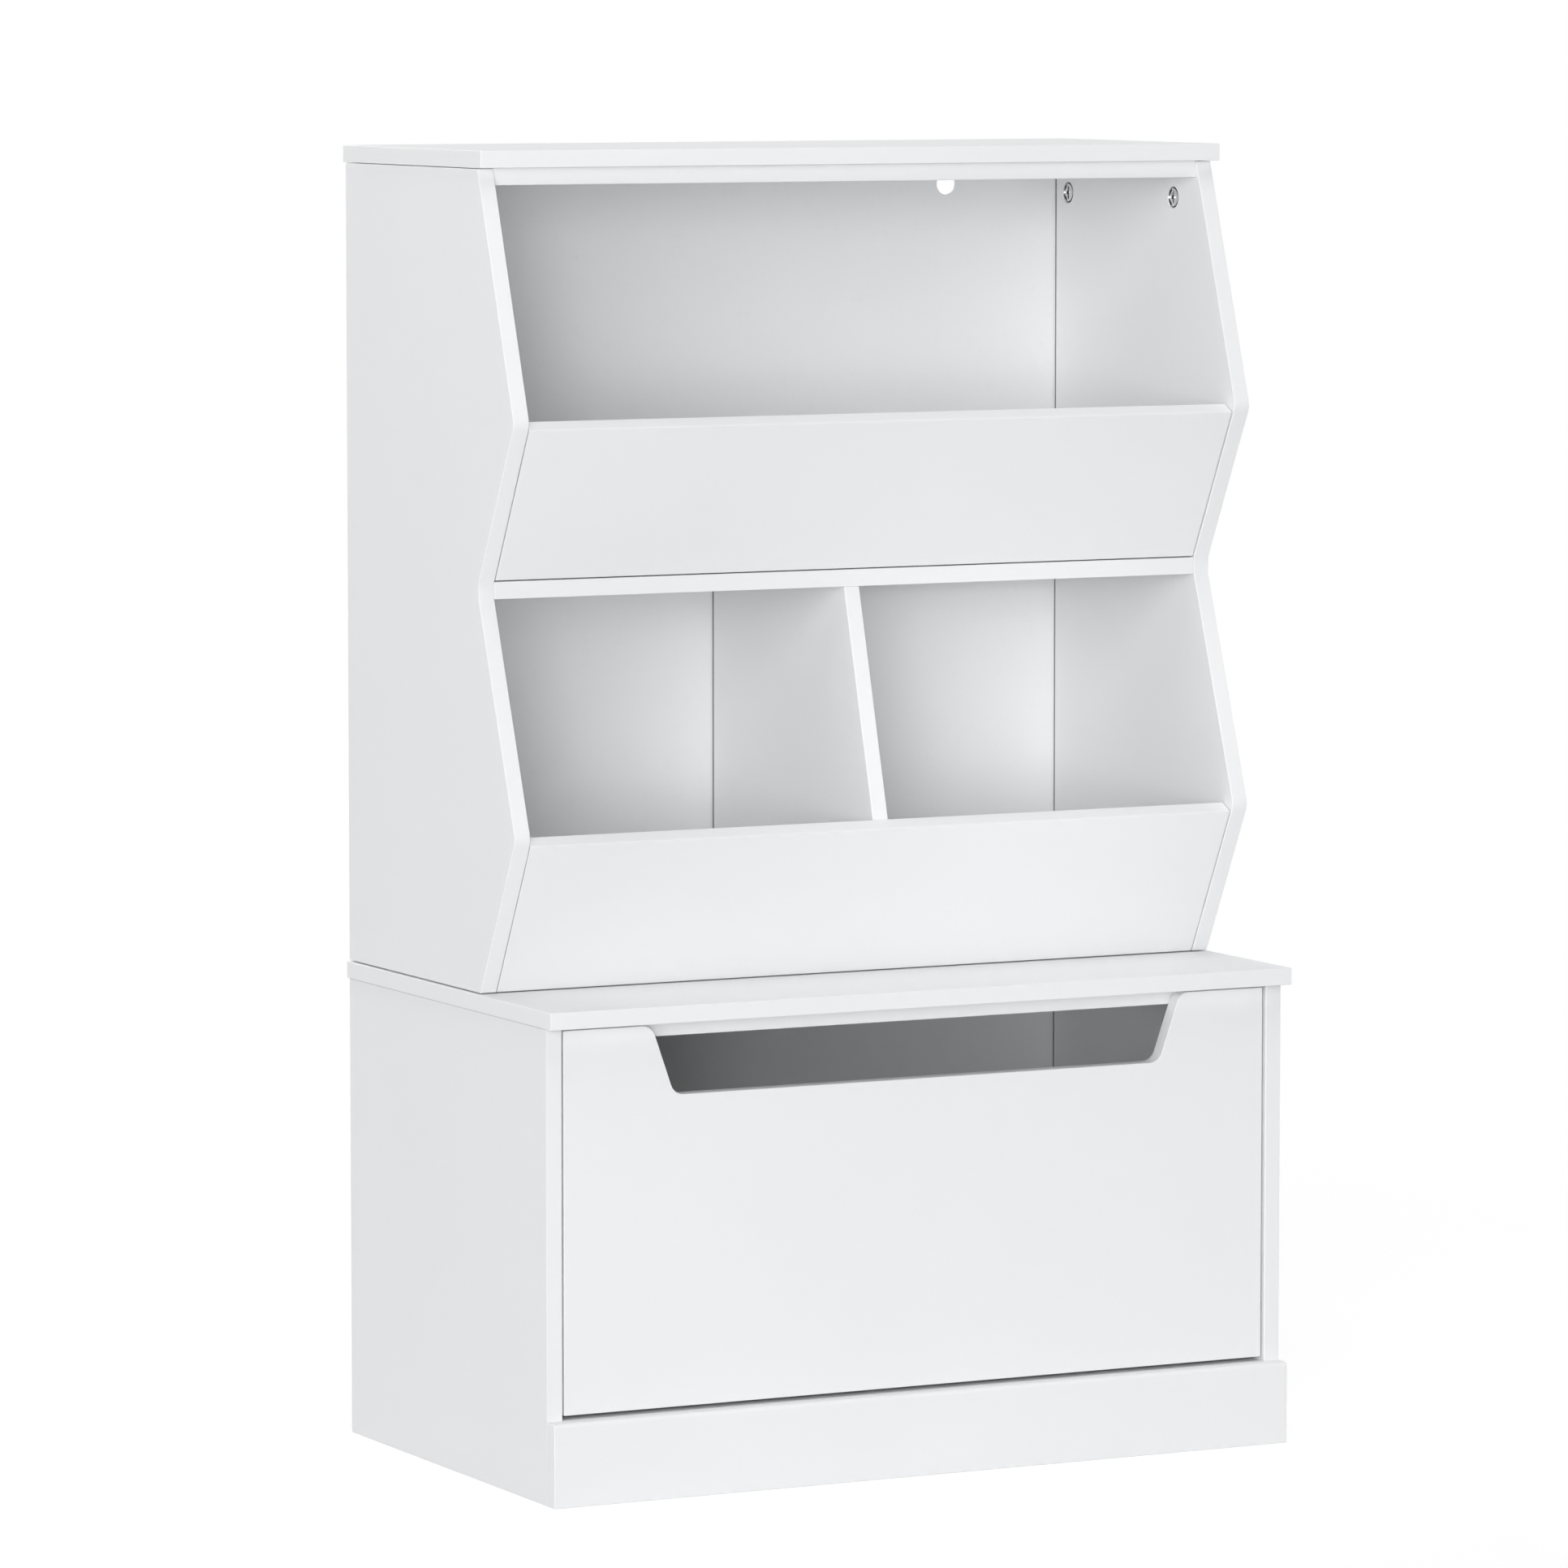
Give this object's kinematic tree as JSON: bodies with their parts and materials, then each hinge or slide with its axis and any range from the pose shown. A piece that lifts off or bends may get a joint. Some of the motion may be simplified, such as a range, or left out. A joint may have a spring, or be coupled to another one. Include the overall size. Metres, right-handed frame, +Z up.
{
  "type": "toy cabinet",
  "caption": "White toy cabinet: open tiered bins with slanted fronts and a divider, stacked on a deeper base with a wide drawer that has a hand cut-out and runs on roller runners.",
  "frame": {"origin": "on the floor under the middle of the base top's outline", "axes": "+Z up, -Y towards the front with the drawer, +X to the right as seen from the front"},
  "size_m": [0.58, 0.34, 0.92],
  "materials": {
    "white_board": "white satin laminate on particle board",
    "white_hardboard": "thin white lacquered fibreboard",
    "cam_zinc": "nickel-plated zinc",
    "fastener_steel": "zinc-plated steel",
    "beech": "bare fluted beech",
    "runner_enamel": "white enamelled folded sheet steel",
    "roller_nylon": "moulded nylon"
  },
  "bodies": {
    "cabinet": {"upper_top": "white_board", "upper_side_left": "white_board", "upper_side_right": "white_board", "upper_top_rail": "white_board", "mid_shelf": "white_board", "lower_bin_floor": "white_board", "upper_bin_front": "white_board", "lower_bin_front": "white_board", "bin_divider": "white_board", "base_top": "white_board", "base_side_left": "white_board", "base_side_right": "white_board", "base_bottom": "white_board", "base_top_rail": "white_board", "plinth": "white_board", "upper_back_panel": "white_hardboard", "base_back_panel": "white_hardboard", "upper_cam_locks": "cam_zinc", "base_cam_locks": "cam_zinc", "upper_cam_bolts": "fastener_steel", "base_cam_bolts": "fastener_steel", "upper_dowels": "beech", "base_dowels": "beech", "stacking_dowels": "beech", "cabinet_runner_left": "runner_enamel", "cabinet_runner_right": "runner_enamel", "cabinet_runner_screws": "fastener_steel", "cabinet_roller_axles": "fastener_steel"},
    "drawer": {"drawer_front": "white_board", "drawer_side_left": "white_board", "drawer_side_right": "white_board", "drawer_back": "white_board", "drawer_bottom": "white_hardboard", "drawer_dowels": "beech", "drawer_runner_left": "runner_enamel", "drawer_runner_right": "runner_enamel", "drawer_runner_screws": "fastener_steel", "drawer_roller_axles": "fastener_steel"},
    "cabinet_wheel_left": {"cabinet_roller_left": "roller_nylon"},
    "cabinet_wheel_right": {"cabinet_roller_right": "roller_nylon"},
    "drawer_wheel_left": {"drawer_roller_left": "roller_nylon"},
    "drawer_wheel_right": {"drawer_roller_right": "roller_nylon"}
  },
  "joints": [
    {"name": "drawer_slide", "type": "slide", "parent": "cabinet", "child": "drawer", "axis": [0, -1, 0], "range_m": [0, 0.185]},
    {"name": "cabinet_wheel_left_spin", "type": "hinge", "parent": "cabinet", "child": "cabinet_wheel_left", "pos_m": [-0.2718, -0.1295, 0.0769], "axis": [1, 0, 0], "range_deg": [0, 1120]},
    {"name": "cabinet_wheel_right_spin", "type": "hinge", "parent": "cabinet", "child": "cabinet_wheel_right", "pos_m": [0.2718, -0.1295, 0.0769], "axis": [1, 0, 0], "range_deg": [0, 1120]},
    {"name": "drawer_wheel_left_spin", "type": "hinge", "parent": "drawer", "child": "drawer_wheel_left", "pos_m": [-0.2678, 0.089, 0.0749], "axis": [1, 0, 0], "range_deg": [0, 1120]},
    {"name": "drawer_wheel_right_spin", "type": "hinge", "parent": "drawer", "child": "drawer_wheel_right", "pos_m": [0.2678, 0.089, 0.0749], "axis": [1, 0, 0], "range_deg": [0, 1120]}
  ],
  "couplings": [
    {"joint": "cabinet_wheel_left_spin", "follows": "drawer_slide", "rad_per_m": 105.26},
    {"joint": "cabinet_wheel_right_spin", "follows": "drawer_slide", "rad_per_m": 105.26},
    {"joint": "drawer_wheel_left_spin", "follows": "drawer_slide", "rad_per_m": 105.26},
    {"joint": "drawer_wheel_right_spin", "follows": "drawer_slide", "rad_per_m": 105.26}
  ]
}
